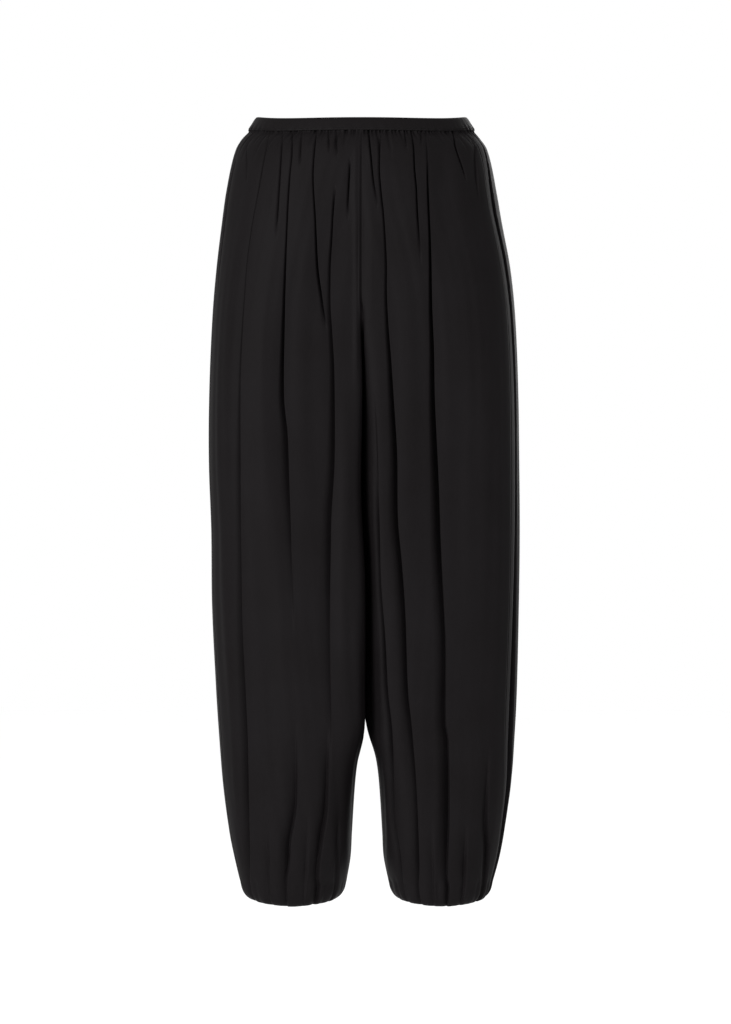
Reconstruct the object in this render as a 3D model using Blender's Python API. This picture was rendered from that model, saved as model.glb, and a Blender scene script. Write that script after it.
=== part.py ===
"""Balloon trousers, filled out as if worn, with no wearer inside.

Metres, +Z up.  The front faces -Y and +X is the viewer's right.  The origin is the centre of
the waist opening: the waistband's top edge lies 7 mm above it at the sides and back, and
3 mm below it in front.  Lengths in the tables are millimetres, measured down from the origin
("drop") or out from the centre line.
"""
import math
from collections import namedtuple

import bpy
from mathutils import Vector

MM = 0.001

# ---- driving dimensions, in millimetres ------------------------------------------------
CLOTH = 1.6                 # wall of a panel
SEAM_GAP = 0.3              # between two sewn pieces
BAND_HEIGHT = 18.0
BAND_THICK = 2.6
BAND_TOP = (131.0, 92.0)    # half width and half depth of the band's top edge
BAND_FOOT = (142.0, 98.0)   # the same at its lower edge
WAIST_DIP = 3.0             # the front of the waist sits lower
WAIST_RISE = 7.0            # its sides and back sit higher
WAIST_REACH = 70.0          # how far below the band this fades out
BAND_COLUMNS = 72
CUFF_HEIGHT = 13.0
CUFF_THICK = 2.0
CUFF_COLUMNS = 40
CUFF_INSET = 2.0            # the elastic lies in the middle of the gathers

CROTCH = 360.0              # drop of the point where the four panels meet
VALLEY_TOP = 215.0          # drop where the valley between the legs starts
VALLEY_FOOT = 450.0         # drop where it reaches its full depth
RISE_SQUARE = 6.0           # how squarely the centre seams turn under at the crotch
LEG_GAP = 2.7               # between the middles of the two inner leg walls
GAP_BOW = 4.0               # how far the inner walls bow sideways, so that they nest
BOW_TOP = 235.0             # drop where this bow starts
BOW_FULL = 345.0            # drop where it is full
BOW_FOOT = (735.0, 785.0)   # drops between which it fades out
HEM_SIDE_LIFT = 6.0         # the turned-under hem is higher at the sides of each leg

WALL_STEPS = 8              # points along the flat part of an inner wall
COLUMNS = 32                # columns of one panel: four for each of its eight folds
FOLDS_PER_PANEL = COLUMNS // 4
GATHER_WAIST = 2.9          # depth of the short gathers under the waistband
GATHER_WAIST_REACH = 95.0   # how far down they fade out
GATHER_HEM = 3.2            # depth of the short gathers into the cuff
GATHER_HEM_REACH = 75.0
GATHER_UNEVEN = 0.35        # how much the gathers differ in depth
HEM_FOLD_EASE = 0.5         # how much of the long folds is lost in the hem's gathers

# ---- the shape, in sections ------------------------------------------------------------
# left, right: outline from the centre line; front, back: depth from the side plane
Section = namedtuple("Section", "drop left right front back")
SECTIONS = (
    Section(18, 141, 141, 98, 98),
    Section(27, 150, 149, 103, 105),
    Section(38, 157, 157, 107, 111),
    Section(60, 164, 164, 111, 119),
    Section(90, 170, 170, 114, 127),
    Section(120, 174, 175, 116, 132),
    Section(180, 181, 186, 118, 138),
    Section(240, 186, 192, 119, 139),
    Section(330, 190, 196, 117, 134),
    Section(420, 191, 198, 113, 125),
    Section(510, 188, 199, 109, 118),
    Section(600, 187, 198, 105, 111),
    Section(705, 182, 195, 98, 102),
    Section(765, 178, 192, 93, 96),
    Section(825, 173, 188, 87, 89),
    Section(885, 165, 179, 79, 80),
    Section(915, 159, 173, 74, 74),
    Section(945, 152, 165, 67, 67),
)

# centre, half: where the space between the legs lies and half its width
Gap = namedtuple("Gap", "drop centre half")
GAPS = (
    Gap(0, 0.0, LEG_GAP / 2),
    Gap(CROTCH, -1.0, LEG_GAP / 2),
    Gap(470, -2.0, LEG_GAP / 2),
    Gap(560, 2.5, LEG_GAP / 2),
    Gap(700, 4.5, LEG_GAP / 2),
    Gap(740, 6.5, 1.6),
    Gap(765, 7.0, 3.8),
    Gap(795, 7.0, 11.3),
    Gap(825, 7.0, 15.0),
    Gap(885, 7.0, 18.8),
    Gap(915, 7.0, 20.5),
    Gap(945, 7.5, 26.0),
)

# lobe: how far out each leg's deepest point lies; left, right: roundness of the front's inner
# corner on each leg; behind, outer: of the back's inner corner and of the outer corners
Form = namedtuple("Form", "drop lobe left right behind outer")
FORMS = (
    Form(18, 0.00, 3.0, 3.0, 3.0, 2.25),
    Form(120, 0.22, 3.5, 3.5, 3.5, 2.35),
    Form(240, 0.42, 4.5, 4.5, 4.5, 2.40),
    Form(360, 0.50, 5.0, 4.4, 5.0, 2.40),
    Form(560, 0.50, 4.4, 3.2, 4.2, 2.35),
    Form(740, 0.50, 3.2, 2.5, 3.0, 2.25),
    Form(945, 0.50, 2.1, 2.1, 2.1, 2.10),
)

ROW_DROPS = (18.4, 26, 38, 58, 90, 135, 190, 245, 295, 330, 350, 360, 385, 440, 510,
             590, 670, 735, 785, 835, 880, 915, 945)

# the hem rounds under and goes up inside; share: of the leg's width and depth
HemRow = namedtuple("HemRow", "drop share lift")
HEM_ROWS = (
    HemRow(958, 0.960, 0.4),
    HemRow(968, 0.890, 0.9),
    HemRow(972, 0.790, 1.0),
    HemRow(967, 0.705, 1.0),
    HemRow(955, 0.665, 0.6),
)

# the side seams lie forward of the outline by this much, measured along the cloth
SeamForward = namedtuple("SeamForward", "drop left right")
SEAM_FORWARD = (
    SeamForward(18, 30, 48),
    SeamForward(120, 38, 66),
    SeamForward(700, 38, 66),
    SeamForward(945, 20, 28),
)

# ---- the long folds of the two front panels --------------------------------------------
# at_*: the trough's distance out from the centre line at five drops; deep_*: its depth there
FOLD_DROPS = (45, 180, 350, 600, 890)
Fold = namedtuple(
    "Fold",
    "at_waist at_hip at_crotch at_knee at_calf"
    " deep_waist deep_hip deep_crotch deep_knee deep_calf")
FRONT_FOLDS = {
    "left": (
        Fold(15, 14, 5, -2, 15, 3.0, 3.0, 3.0, 5.0, 5.0),
        Fold(31, 36, 33, 40, 49, 3.0, 5.0, 6.0, 6.0, 6.0),
        Fold(56, 55, 57, 62, 68, 5.0, 4.5, 1.5, 1.5, 2.5),
        Fold(84, 92, 94, 85, 89, 6.0, 8.0, 8.0, 2.5, 5.0),
        Fold(99, 109, 117, 111, 113, 3.0, 3.0, 1.5, 1.5, 2.0),
        Fold(118, 138, 146, 142, 136, 5.0, 6.5, 8.0, 8.0, 9.0),
        Fold(138, 160, 168, 165, 151, 3.0, 2.0, 2.0, 2.0, 3.0),
    ),
    "right": (
        Fold(10, 15, 10, 24, 43, 3.0, 3.0, 2.0, 5.0, 6.0),
        Fold(23, 31, 39, 52, 67, 4.0, 6.0, 6.5, 7.0, 6.0),
        Fold(56, 62, 67, 76, 85, 5.0, 3.0, 1.5, 2.5, 2.0),
        Fold(80, 85, 89, 100, 105, 6.0, 8.0, 9.0, 9.0, 8.0),
        Fold(101, 107, 115, 124, 127, 3.0, 3.0, 1.5, 1.0, 1.5),
        Fold(117, 131, 139, 145, 143, 5.0, 3.0, 2.0, 2.5, 3.0),
        Fold(129, 147, 159, 163, 155, 3.0, 3.0, 2.0, 2.0, 2.0),
    ),
}
SIDE_FOLD_DEPTH = 2.6       # of a front panel's last fold, halfway to the side seam

# the back panels' folds lie evenly, with some sway, up to the corner by the centre seam
BACK_CORNER = 14.0          # that corner's distance out from the inner wall
BACK_SWAY = 0.17            # of the distance between two folds
BACK_DEPTH = (1.5, 6.5)     # least and greatest depth
CORNER_DEPTH = 3.0          # of a back panel's last fold, in that corner
MIN_COLUMN = 3.2            # least distance between two columns of a panel
RIDGE_SHARE = 0.42          # a ridge lies nearer to the trough on the viewer's left of it
SHARP_SHARE = 0.36          # the steep shoulder of a fold
SOFT_SHARE = 0.55           # its gentle shoulder
SHOULDER_DEPTH = 0.42       # of the trough's depth
TANGENT_STEP = 2.0          # to either side of a point, to find the cloth's direction

# ---- colours ---------------------------------------------------------------------------
CLOTH_COLOUR = (0.0125, 0.0115, 0.012, 1.0)
ELASTIC_COLOUR = (0.010, 0.0095, 0.010, 1.0)


def curve(knots, values, at):
    """Smooth value at one drop, through values given at the knots."""
    if at <= knots[0]:
        return values[0]
    if at >= knots[-1]:
        return values[-1]
    k = max(i for i in range(len(knots) - 1) if knots[i] <= at)
    slopes = []
    for i in (k, k + 1):
        before = max(i - 1, 0)
        after = min(i + 1, len(knots) - 1)
        slopes.append((values[after] - values[before]) / (knots[after] - knots[before]))
    span = knots[k + 1] - knots[k]
    t = (at - knots[k]) / span
    return ((2 * t ** 3 - 3 * t ** 2 + 1) * values[k]
            + (t ** 3 - 2 * t ** 2 + t) * span * slopes[0]
            + (3 * t ** 2 - 2 * t ** 3) * values[k + 1]
            + (t ** 3 - t ** 2) * span * slopes[1])


def column_of(table, name):
    return [getattr(row, name) for row in table]


def read(table, name, drop):
    """A named column of a table of sections, at any drop."""
    return curve(column_of(table, "drop"), column_of(table, name), drop)


def fade(x):
    """Smooth step from 0 to 1."""
    x = min(max(x, 0.0), 1.0)
    return x * x * (3 - 2 * x)


def valley_share(drop):
    """How far forward the legs' inner walls meet: 1 flush with the front, 0 at the side plane."""
    return 1 - fade((drop - VALLEY_TOP) / (VALLEY_FOOT - VALLEY_TOP))


def rise_share(drop):
    """The same for the centre seam itself, which turns under and ends at the crotch."""
    q = min(max((drop - VALLEY_TOP) / (CROTCH - VALLEY_TOP), 0.0), 1.0)
    return valley_share(drop) * math.sqrt(1 - q ** RISE_SQUARE)


def quarter(start, end, roundness, upright_first, count=22):
    """Superellipse quarter between two points of a section."""
    points = []
    for i in range(count + 1):
        angle = 0.5 * math.pi * i / count
        along = math.sin(angle) ** (2 / roundness)
        across = math.cos(angle) ** (2 / roundness)
        if upright_first:
            x = end[0] + (start[0] - end[0]) * across
            y = start[1] + (end[1] - start[1]) * along
        else:
            x = start[0] + (end[0] - start[0]) * along
            y = end[1] + (start[1] - end[1]) * across
        points.append((x, y))
    return points


def half_section(side, drop):
    """Points (x, y) of one leg's section, from its centre front round to its centre back."""
    sign = -1 if side == "left" else 1
    wall = read(GAPS, "centre", drop) + sign * read(GAPS, "half", drop)
    edge = sign * read(SECTIONS, side, drop)
    front = read(SECTIONS, "front", drop)
    back = read(SECTIONS, "back", drop)
    crown = wall + (edge - wall) * read(FORMS, "lobe", drop)
    inner = read(FORMS, side, drop)
    behind = read(FORMS, "behind", drop)
    outer = read(FORMS, "outer", drop)
    rise = rise_share(drop)
    valley = valley_share(drop)
    turns = (
        quarter((wall, -front * valley), (crown, -front), inner, True),
        quarter((crown, -front), (edge, 0.0), outer, False),
        quarter((edge, 0.0), (crown, back), outer, True),
        quarter((crown, back), (wall, back * valley), behind, False),
    )
    points = [(wall, -front * (rise + (valley - rise) * k / WALL_STEPS)) for k in range(WALL_STEPS)]
    for turn in turns:
        points.extend(turn if turn is turns[0] else turn[1:])
    points += [(wall, back * (valley + (rise - valley) * k / WALL_STEPS))
               for k in range(1, WALL_STEPS + 1)]
    bowed = []
    for x, y in points:
        near = max(1 - abs(x - wall) / max(abs(crown - wall), 1.0), 0.0) ** 2
        bowed.append((x + near * bow_at(drop, y), y))
    return bowed, crown, wall


def bow_at(drop, y):
    """Sideways bow of the inner walls, alike on both legs: towards the left at mid depth."""
    power = GAP_BOW * fade((drop - BOW_TOP) / (BOW_FULL - BOW_TOP))
    power *= 1 - fade((drop - BOW_FOOT[0]) / (BOW_FOOT[1] - BOW_FOOT[0]))
    depth = read(SECTIONS, "front" if y < 0 else "back", drop)
    return -power * math.cos(math.pi * y / depth)


class Measured:
    """A section with its length measured along it."""

    def __init__(self, points):
        self.points = points
        self.marks = [0.0]
        for a, b in zip(points, points[1:]):
            self.marks.append(self.marks[-1] + math.dist(a, b))
        self.length = self.marks[-1]

    def at(self, mark):
        mark = min(max(mark, 0.0), self.length)
        for k in range(len(self.points) - 1):
            if self.marks[k + 1] >= mark and self.marks[k + 1] > self.marks[k]:
                t = (mark - self.marks[k]) / (self.marks[k + 1] - self.marks[k])
                a = self.points[k]
                b = self.points[k + 1]
                return a[0] + t * (b[0] - a[0]), a[1] + t * (b[1] - a[1])
        return self.points[-1]

    def mark_of_widest(self, sign):
        best = max(range(len(self.points)), key=lambda k: sign * self.points[k][0])
        return self.marks[best]

    def mark_of_x(self, x, sign, limit):
        """Where the front of the section first lies as far out as x."""
        for k in range(1, len(self.points)):
            here = sign * self.points[k][0]
            before = sign * self.points[k - 1][0]
            if here >= sign * x:
                share = (sign * x - before) / max(here - before, 1e-6)
                step = self.marks[k] - self.marks[k - 1]
                return min(self.marks[k - 1] + step * max(share, 0.0), limit)
        return limit

    def mark_of_x_behind(self, x, sign):
        """The same on the back of the section, from its centre seam outwards."""
        for k in range(len(self.points) - 2, 0, -1):
            here = sign * self.points[k][0]
            before = sign * self.points[k + 1][0]
            if here >= sign * x:
                share = (sign * x - before) / max(here - before, 1e-6)
                step = self.marks[k + 1] - self.marks[k]
                return self.marks[k + 1] - step * max(share, 0.0)
        return self.length


def spread(marks, end):
    """Columns kept in order and apart, between 0 and the end of the panel."""
    for j in range(1, len(marks)):
        marks[j] = max(marks[j], marks[j - 1] + MIN_COLUMN)
    marks[-1] = end
    for j in range(len(marks) - 2, 0, -1):
        marks[j] = min(marks[j], marks[j + 1] - MIN_COLUMN)
    return marks


def waist_share(side, drop):
    """Above the first drop of the fold table the folds close in with the outline."""
    first = FOLD_DROPS[0]
    return read(SECTIONS, side, drop) / read(SECTIONS, side, first) if drop < first else 1.0


def front_troughs(side, drop, section, seam):
    """Marks and depths of the folds of a front panel at one drop."""
    sign = -1 if side == "left" else 1
    marks = []
    depths = []
    for fold in FRONT_FOLDS[side]:
        out = curve(FOLD_DROPS, fold[:5], drop) * waist_share(side, drop)
        marks.append(section.mark_of_x(sign * out, sign, seam - 4 * MIN_COLUMN))
        depths.append(max(curve(FOLD_DROPS, fold[5:], drop), 0.5))
    marks.append((marks[-1] + seam) / 2)
    depths.append(SIDE_FOLD_DEPTH)
    return marks, depths


def back_troughs(side, drop, section, seam, wall):
    """The same for a back panel, measured from its side seam."""
    sign = -1 if side == "left" else 1
    corner = section.mark_of_x_behind(wall + sign * BACK_CORNER, sign) - seam
    least, greatest = BACK_DEPTH
    marks = []
    depths = []
    even = FOLDS_PER_PANEL - 1
    for k in range(even):
        sway = BACK_SWAY * math.sin(1.9 * k + 1.4 * sign + drop / 260)
        marks.append(corner * (k + 0.5 + sway) / even)
        swell = 0.5 + 0.5 * math.sin(2.4 * k + 2.0 * sign + 0.8 * math.sin(drop / 210))
        depths.append(least + (greatest - least) * swell * fade(drop / 200))
    marks.append((corner + section.length - seam) / 2)
    depths.append(CORNER_DEPTH)
    return marks, depths


def panel_columns(troughs, depths, end, steep_before):
    """Marks and depths of a panel's columns: shoulder, trough, shoulder and ridge by turns."""
    ridges = [0.0]
    for a, b in zip(troughs, troughs[1:]):
        share = RIDGE_SHARE if not steep_before else 1 - RIDGE_SHARE
        ridges.append(a + (b - a) * share)
    ridges.append(end)
    before = SHARP_SHARE if steep_before else SOFT_SHARE
    after = SOFT_SHARE if steep_before else SHARP_SHARE
    marks = [0.0]
    deep = [0.0]
    for k, (trough, depth) in enumerate(zip(troughs, depths)):
        marks.append(trough - (trough - ridges[k]) * before)
        marks.append(trough)
        marks.append(trough + (ridges[k + 1] - trough) * after)
        marks.append(ridges[k + 1])
        deep.extend((SHOULDER_DEPTH * depth, depth, SHOULDER_DEPTH * depth, 0.0))
    return spread(marks, end), deep


def gather_depth(column, drop):
    """Short gathers at both ends of a panel: every second column lies deeper."""
    if column % 2:
        return 0.0
    uneven = 1 + GATHER_UNEVEN * math.sin(2.7 * column)
    reach = GATHER_WAIST_REACH * (1 + GATHER_UNEVEN * math.sin(1.3 * column + 1))
    tucked = 0.75 + 0.25 * fade((drop - BAND_HEIGHT) / 8)
    at_waist = GATHER_WAIST * tucked * (1 - fade((drop - 26) / reach))
    at_hem = GATHER_HEM * fade((drop - (945 - GATHER_HEM_REACH)) / GATHER_HEM_REACH)
    return uneven * (at_waist + at_hem)


def ring_row(side, drop, share=1.0, lift=0.0, up=0.0):
    """One row of points round half the garment: front panel, side seam, back panel."""
    sign = -1 if side == "left" else 1
    points, crown, wall = half_section(side, drop)
    section = Measured(points)
    seam = section.mark_of_widest(sign) - read(SEAM_FORWARD, side, drop)
    marks, depths = front_troughs(side, drop, section, seam)
    front_marks, front_deep = panel_columns(marks, depths, seam, side == "left")
    marks, depths = back_troughs(side, drop, section, seam, wall)
    back_marks, back_deep = panel_columns(marks, depths, section.length - seam, side == "left")
    all_marks = front_marks + [seam + m for m in back_marks[1:]]
    all_deep = front_deep + back_deep[1:]
    ease = 1 - HEM_FOLD_EASE * fade((drop - 890) / 55)
    row = []
    for j, (mark, deep) in enumerate(zip(all_marks, all_deep)):
        x, y = section.at(mark)
        ahead = section.at(mark + TANGENT_STEP)
        behind = section.at(mark - TANGENT_STEP)
        tangent = Vector((ahead[0] - behind[0], ahead[1] - behind[1]))
        inward = Vector((-tangent.y, tangent.x)).normalized() * sign
        at_edge = j in (0, COLUMNS, 2 * COLUMNS)
        depth = 0.0 if at_edge else deep * ease + gather_depth(j, drop)
        x += inward.x * depth
        y += inward.y * depth
        x = crown + (x - crown) * share
        y = y * share
        facing = abs(x - crown) / (abs(x - crown) + abs(y) + 1.0)
        height = -drop - up + lift * HEM_SIDE_LIFT * fade(facing)
        row.append(Vector((x, y, height)))
    return row


def waist_lift(y, front, drop):
    """The waist is higher at its sides and back than in front."""
    forward = fade(-y / front)
    lift = WAIST_RISE * (1 - forward) - WAIST_DIP * forward
    return lift * (1 - fade((drop - BAND_HEIGHT) / WAIST_REACH))


def leg_rows(side):
    """All rows of one half of the trousers, from the waistband seam to the cuff seam."""
    rows = []
    for drop in ROW_DROPS:
        row = ring_row(side, drop)
        for point in row:
            point.z += waist_lift(point.y, read(SECTIONS, "front", drop), drop)
        rows.append(row)
    last = ROW_DROPS[-1]
    for hem in HEM_ROWS:
        rows.append(ring_row(side, last, hem.share, hem.lift, hem.drop - last))
    return rows


def close_seams(rows, side):
    """Move the centre edges of a half to their seams, half a seam gap from the plane."""
    sign = -1 if side == "left" else 1
    half_gap = SEAM_GAP / 2
    split = ROW_DROPS.index(CROTCH)
    for i, row in enumerate(rows):
        if i <= split:
            drop = ROW_DROPS[i]
            row[0].x = sign * half_gap + bow_at(drop, row[0].y)
            row[-1].x = sign * half_gap + bow_at(drop, row[-1].y)
        if i >= split:
            row[0].y = -half_gap
            row[-1].y = half_gap
    return split


def row_normals(rows, side, split):
    """Outward directions of the cloth at every point of a half."""
    sign = -1 if side == "left" else 1
    normals = []
    last = len(rows[0]) - 1
    for i, row in enumerate(rows):
        above = rows[max(i - 1, 0)]
        below = rows[min(i + 1, len(rows) - 1)]
        line = []
        for j in range(len(row)):
            if 0 < j < last:
                across = row[j + 1] - row[j - 1]
            elif i > split:
                across = row[1] - row[-2]
            elif j == 0:
                across = Vector((sign, 0, 0))
            else:
                across = Vector((-sign, 0, 0))
            down = below[j] - above[j]
            if i == split and j in (0, last):
                normal = Vector((0, 0, -1))
            else:
                normal = across.cross(down) * -sign
            if i in (0, len(rows) - 1):
                normal.z = 0.0      # the sewn edges stay level
            line.append(normal.normalized())
        normals.append(line)
    return normals


def edge_pull(point, neighbour, distance):
    """A seam edge drawn back towards its own panel."""
    return point + (neighbour - point).normalized() * distance


def wall_object(name, grid, normals, material):
    """A closed cloth wall: the grid moved out and in by half the cloth, with its rim."""
    rows = len(grid)
    columns = len(grid[0])
    verts = []
    for side in (0.5, -0.5):
        for i in range(rows):
            for j in range(columns):
                verts.append((grid[i][j] + normals[i][j] * CLOTH * side) * MM)
    inner = rows * columns

    def corner(i, j):
        return i * columns + j

    faces = []
    for i in range(rows - 1):
        for j in range(columns - 1):
            a, b = corner(i, j), corner(i, j + 1)
            c, d = corner(i + 1, j + 1), corner(i + 1, j)
            faces.append((a, d, c, b))
            faces.append((a + inner, b + inner, c + inner, d + inner))
    rim = [corner(0, j) for j in range(columns)]
    rim += [corner(i, columns - 1) for i in range(1, rows)]
    rim += [corner(rows - 1, j) for j in range(columns - 2, -1, -1)]
    rim += [corner(i, 0) for i in range(rows - 2, 0, -1)]
    for a, b in zip(rim, rim[1:] + rim[:1]):
        faces.append((a, b, b + inner, a + inner))
    return mesh_object(name, verts, faces, material)


def mesh_object(name, verts, faces, material):
    mesh = bpy.data.meshes.new(name)
    mesh.from_pydata([tuple(v) for v in verts], [], faces)
    mesh.validate()
    mesh.materials.append(material)
    mesh.shade_smooth()
    obj = bpy.data.objects.new(name, mesh)
    bpy.context.scene.collection.objects.link(obj)
    return obj


def face_outward(obj):
    """Turn the faces out if the closed mesh encloses a negative volume."""
    mesh = obj.data
    volume = 0.0
    for polygon in mesh.polygons:
        points = [mesh.vertices[k].co for k in polygon.vertices]
        for b, c in zip(points[1:], points[2:]):
            volume += points[0].dot(b.cross(c))
    if volume < 0:
        mesh.flip_normals()


def cloth_material(name, colour, roughness):
    material = bpy.data.materials.new(name)
    material.use_nodes = True
    shader = material.node_tree.nodes["Principled BSDF"]
    shader.inputs["Base Color"].default_value = colour
    shader.inputs["Roughness"].default_value = roughness
    shader.inputs["Metallic"].default_value = 0.0
    material.diffuse_color = colour
    return material


def build_half(side, material):
    rows = leg_rows(side)
    split = close_seams(rows, side)
    normals = row_normals(rows, side, split)
    pull = SEAM_GAP / 2
    front = [row[:COLUMNS + 1] for row in rows]
    back = [row[COLUMNS:] for row in rows]
    for i in range(len(rows)):
        front[i] = front[i][:-1] + [edge_pull(front[i][-1], front[i][-2], pull)]
        back[i] = [edge_pull(back[i][0], back[i][1], pull)] + back[i][1:]
    front_normals = [line[:COLUMNS + 1] for line in normals]
    back_normals = [line[COLUMNS:] for line in normals]
    face_outward(wall_object("front_" + side, front, front_normals, material))
    face_outward(wall_object("back_" + side, back, back_normals, material))
    return rows


def superellipse(half_width, half_depth, roundness, angle):
    c = math.cos(angle)
    s = math.sin(angle)
    return (half_width * math.copysign(abs(c) ** (2 / roundness), c),
            half_depth * math.copysign(abs(s) ** (2 / roundness), s))


def ring_object(name, rings, material):
    """A closed ring: rings are its profile's points, each given all the way round."""
    count = len(rings[0])
    verts = [point * MM for ring in rings for point in ring]
    faces = []
    for k in range(len(rings)):
        after = (k + 1) % len(rings)
        for j in range(count):
            beside = (j + 1) % count
            here = k * count
            there = after * count
            faces.append((here + j, here + beside, there + beside, there + j))
    obj = mesh_object(name, verts, faces, material)
    face_outward(obj)
    return obj


def build_waistband(material):
    """A flat elastic band, a little wider at its foot."""
    roundness = FORMS[0].outer
    profile = (
        # height share from the top edge, offset out from the cloth's middle
        (0.00, 0.30), (0.06, 0.50), (0.94, 0.50), (1.00, 0.30),
        (1.00, -0.30), (0.94, -0.50), (0.06, -0.50), (0.00, -0.30),
    )
    rings = []
    for share, offset in profile:
        ring = []
        for j in range(BAND_COLUMNS):
            angle = 2 * math.pi * j / BAND_COLUMNS
            width = BAND_TOP[0] + (BAND_FOOT[0] - BAND_TOP[0]) * share + offset * BAND_THICK
            depth = BAND_TOP[1] + (BAND_FOOT[1] - BAND_TOP[1]) * share + offset * BAND_THICK
            x, y = superellipse(width, depth, roundness, angle)
            z = -share * BAND_HEIGHT + waist_lift(y, depth, 0.0)
            ring.append(Vector((x, y, z)))
        rings.append(ring)
    return ring_object("waistband", rings, material)


def build_cuff(side, last_row, material):
    """The elastic inside the hem: a ring standing on the panels' inner edge."""
    xs = [p.x for p in last_row]
    ys = [p.y for p in last_row]
    middle_x = (max(xs) + min(xs)) / 2
    middle_y = (max(ys) + min(ys)) / 2
    width = (max(xs) - min(xs)) / 2 - CUFF_INSET
    depth = (max(ys) - min(ys)) / 2 - CUFF_INSET
    foot = max(p.z for p in last_row) + SEAM_GAP
    rings = []
    for up, offset in ((0, 0.5), (CUFF_HEIGHT, 0.5), (CUFF_HEIGHT, -0.5), (0, -0.5)):
        ring = []
        for j in range(CUFF_COLUMNS):
            angle = 2 * math.pi * j / CUFF_COLUMNS
            out = offset * CUFF_THICK
            x, y = superellipse(width + out, depth + out, FORMS[-1].outer, angle)
            ring.append(Vector((middle_x + x, middle_y + y, foot + up)))
        rings.append(ring)
    return ring_object("cuff_" + side, rings, material)


def main():
    for obj in list(bpy.data.objects):
        bpy.data.objects.remove(obj, do_unlink=True)
    cloth = cloth_material("crepe satin", CLOTH_COLOUR, 0.55)
    elastic = cloth_material("covered elastic", ELASTIC_COLOUR, 0.7)
    build_waistband(elastic)
    for side in ("left", "right"):
        rows = build_half(side, cloth)
        build_cuff(side, rows[-1], elastic)


main()
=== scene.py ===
"""Looks of the balloon trousers: four gathered panels, a waistband and two hidden cuffs.

Metres, +Z up.  The front faces -Y and +X is the viewer's right.  Lengths in the tables are
millimetres: "drop" is measured down from the origin, the middle of the waist opening.
The panels follow the sections of the solids they stand for, with squarer inner corners in
front, finer and deeper folds and closer seams.  The band shows a little less deep.
"""
import math
from collections import namedtuple

import bpy
import numpy as np
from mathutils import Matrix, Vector


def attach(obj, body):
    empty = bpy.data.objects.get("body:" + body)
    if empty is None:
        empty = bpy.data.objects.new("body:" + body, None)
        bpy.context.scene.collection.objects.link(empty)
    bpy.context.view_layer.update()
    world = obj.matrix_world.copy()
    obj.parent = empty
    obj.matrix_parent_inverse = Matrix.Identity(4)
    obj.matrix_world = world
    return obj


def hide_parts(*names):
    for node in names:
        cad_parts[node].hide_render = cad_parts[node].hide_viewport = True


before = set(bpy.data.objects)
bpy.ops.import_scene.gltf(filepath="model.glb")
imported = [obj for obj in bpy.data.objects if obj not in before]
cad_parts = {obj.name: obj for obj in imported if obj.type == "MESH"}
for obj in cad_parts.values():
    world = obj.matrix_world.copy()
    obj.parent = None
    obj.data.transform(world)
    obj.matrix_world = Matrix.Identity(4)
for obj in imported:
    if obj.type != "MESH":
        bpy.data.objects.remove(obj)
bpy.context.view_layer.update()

MM = 0.001

# ---- sizes, in millimetres ---------------------------------------------------------------
SEAM_GAP = 0.08             # between two panels at a seam
ALLOWANCE = (0.5, 1.6, 3.6, 6.0)    # the seam allowance turns in, at these depths
ALLOWANCE_LEAN = 0.5        # how much it leans to one side for its depth
LEAN_DEPTH = 2.0            # down to this depth
LEAN_FLIP = 0.7             # cloth that runs more sideways than this leans to +X
TURNED_IN = 0.96            # how far the top edge turns in under the band, as a share
TURNED_UP = 0.8             # and how much it rises
TURNED_CLOTH = 5.0          # width of that strip of cloth
BAND_HEIGHT = 18.0          # of the band's solid
BAND_SHOWN = 15.6           # the cloth rolls up over the foot of the band
BAND_THICK = 2.6
BAND_TOP = (131.0, 92.0)    # half width and half depth of the band's top edge
BAND_FOOT = (140.6, 97.2)
BAND_COLUMNS = 520
BAND_WAVES = 7              # sines that make up its pucker
BAND_WAVE_DEPTH = (0.10, 0.22)
BAND_WAVE_COUNT = (30, 95)
BAND_PUCKER = 0.65          # size of the pucker
PUCKER_START = 0.35         # share of the height from where it grows
STITCHES = 250
STITCH_PLACE = 0.86         # share of the band's height
STITCH_LENGTH = 0.68        # share of the pitch
STITCH_RADIUS = 0.2
STITCH_RISE = (0.26, -0.05) # its arch over its ends, and their height
WAIST_DIP = 3.0             # the waist is lower in front
WAIST_RISE = 7.0            # and higher at the sides and back
WAIST_REACH = 70.0          # both fade out over this drop
CUFF_HEIGHT = 13.0
CUFF_THICK = 2.0
CUFF_INSET = 2.0            # from the turned-under hem
CUFF_GAP = 0.3
CUFF_BULGE = 0.2
CUFF_COLUMNS = 300
CUFF_WAVES = ((0.45, 38, 0.0), (0.25, 23, 1.0))     # depth, count, phase
CROTCH = 360.0
VALLEY_TOP = 215.0          # the valley between the legs starts here
VALLEY_FOOT = 450.0         # and reaches its full depth here
RISE_SQUARE = 6.0           # how squarely the centre seams turn under at the crotch
LEG_GAP = 1.2               # between the inner walls of the two legs
GAP_BOW = 4.0               # sideways bow of the inner walls
BOW_TOP = 235.0             # it starts here
BOW_FULL = 345.0            # is full here
BOW_FOOT = (735.0, 785.0)   # and fades out between these
HEM_SIDE_LIFT = 6.0         # each hem is higher at its sides
HEM_CLOTH = 45.0            # cloth in the rows that round under
TOP_DROP = 14.6             # the cloth goes up a little way under the band
LAST_DROP = 945.0

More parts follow.
